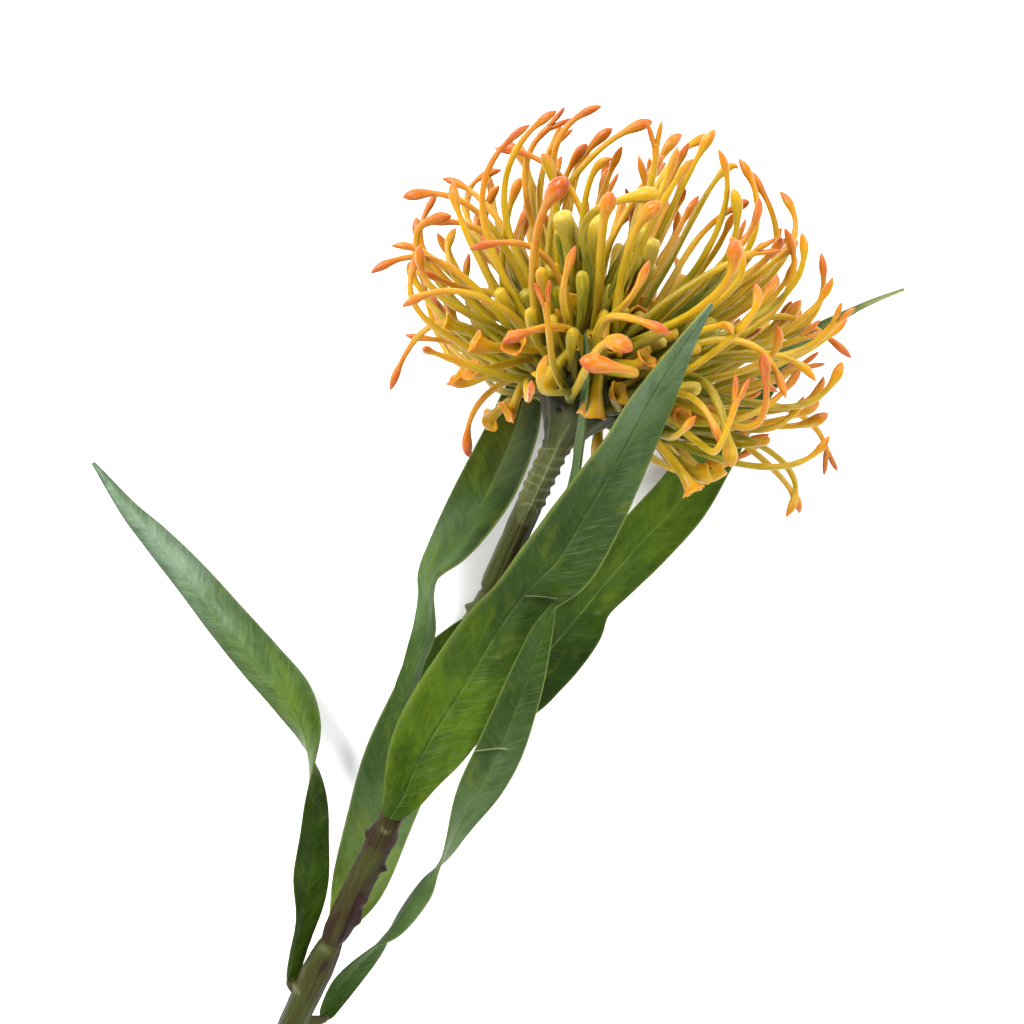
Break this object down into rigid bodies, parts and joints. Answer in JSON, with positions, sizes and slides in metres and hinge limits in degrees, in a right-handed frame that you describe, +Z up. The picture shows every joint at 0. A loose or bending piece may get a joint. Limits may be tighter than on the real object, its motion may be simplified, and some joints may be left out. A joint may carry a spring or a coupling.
{
  "type": "pincushion protea flower",
  "caption": "Cut pincushion protea stem lying down: a round head of curved styles with spindle tips on a flared cup, a ribbed neck and long strap leaves.",
  "frame": {"origin": "middle of the flower's footprint, on the surface it lies on", "axes": "+Y along the stem from its cut end towards the flower head, +X to the right seen from above, +Z up"},
  "size_m": [0.1545, 0.2655, 0.0939],
  "materials": {
    "stem": "satin olive and brown moulded plastic with a pale mould seam",
    "leaf": "satin green moulded plastic with fine herringbone veins and a pale edge",
    "floret": "waxy translucent plastic, yellow at the base to salmon orange at the tips"
  },
  "bodies": {
    "root": {"leaf_front": "leaf", "leaf_left": "leaf", "leaf_left_back": "leaf", "leaf_low_back": "leaf", "leaf_right": "leaf", "leaf_right_back": "leaf", "leaf_young": "leaf", "sprig_01": "floret", "sprig_02": "floret", "sprig_03": "floret", "sprig_04": "floret", "sprig_05": "floret", "sprig_06": "floret", "sprig_07": "floret", "sprig_08": "floret", "sprig_09": "floret", "sprig_10": "floret", "sprig_11": "floret", "sprig_12": "floret", "sprig_13": "floret", "sprig_14": "floret", "sprig_15": "floret", "sprig_16": "floret", "sprig_17": "floret", "sprig_18": "floret", "sprig_19": "floret", "sprig_20": "floret", "sprig_21": "floret", "sprig_22": "floret", "sprig_23": "floret", "sprig_24": "floret", "sprig_26": "floret", "sprig_27": "floret", "sprig_29": "floret", "sprig_30": "floret", "sprig_31": "floret", "sprig_32": "floret", "sprig_34": "floret", "sprig_35": "floret", "sprig_37": "floret", "sprig_38": "floret", "sprig_39": "floret", "sprig_40": "floret", "sprig_41": "floret", "sprig_42": "floret", "sprig_43": "floret", "sprig_44": "floret", "sprig_45": "floret", "sprig_47": "floret", "sprig_48": "floret", "sprig_50": "floret", "stem": "stem"}
  },
  "joints": []
}
